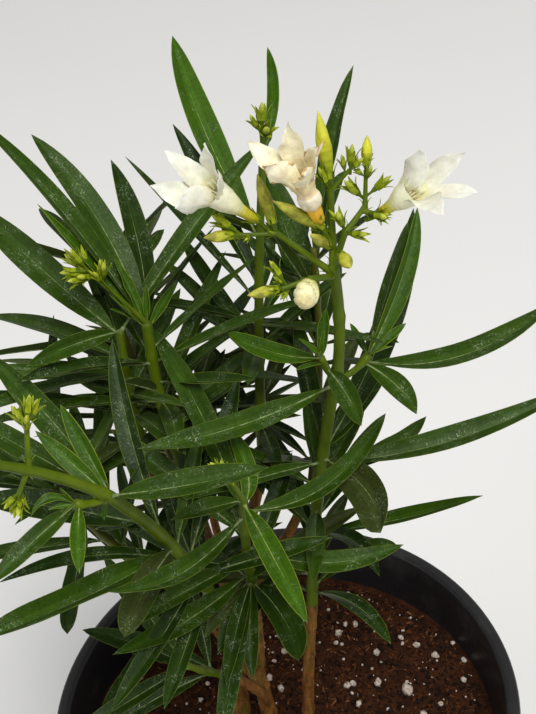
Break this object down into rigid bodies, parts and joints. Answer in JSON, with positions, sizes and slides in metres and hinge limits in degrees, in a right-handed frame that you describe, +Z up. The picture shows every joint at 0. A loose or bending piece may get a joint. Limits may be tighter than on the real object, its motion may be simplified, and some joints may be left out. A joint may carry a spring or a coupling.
{
  "type": "potted oleander",
  "caption": "Leafy oleander shrub in a round tapered nursery pot, with an open truss of pale flowers, leaves in whorls on thin branching shoots, and woody stems.",
  "frame": {"origin": "middle of the pot's flat underside", "axes": "+Z up, +X to the right and +Y to the back as the picture sees the plant"},
  "size_m": [0.3207, 0.3011, 0.5625],
  "materials": {
    "pot": "black moulded plastic with a soft sheen",
    "soil": "moist dark coir with pale perlite",
    "bark": "thin orange-brown bark",
    "foliage": "leathery green leaves",
    "blossom": "yellow-green stalks and buds with white petals"
  },
  "bodies": {
    "root": {"pot": "pot", "soil": "soil", "stem_right": "bark", "stem_left": "bark", "stem_back": "bark", "bough_left": "bark", "bough_back": "bark", "bough_front": "bark", "bough_left_low": "bark", "bough_left_side": "bark", "bough_front_low": "bark", "bough_left_outer": "bark", "bough_back_left": "bark", "bough_back_right": "bark", "bough_back_low": "bark", "foliage_flowering": "foliage", "foliage_side_left": "foliage", "foliage_side_right": "foliage", "foliage_front": "foliage", "foliage_left_low": "foliage", "foliage_side_low": "foliage", "foliage_left": "foliage", "foliage_left_outer": "foliage", "foliage_left_side": "foliage", "foliage_front_low": "foliage", "foliage_back": "foliage", "foliage_back_left": "foliage", "foliage_back_right": "foliage", "foliage_back_low": "foliage", "truss_flowers": "blossom", "truss_green": "blossom"}
  },
  "joints": []
}
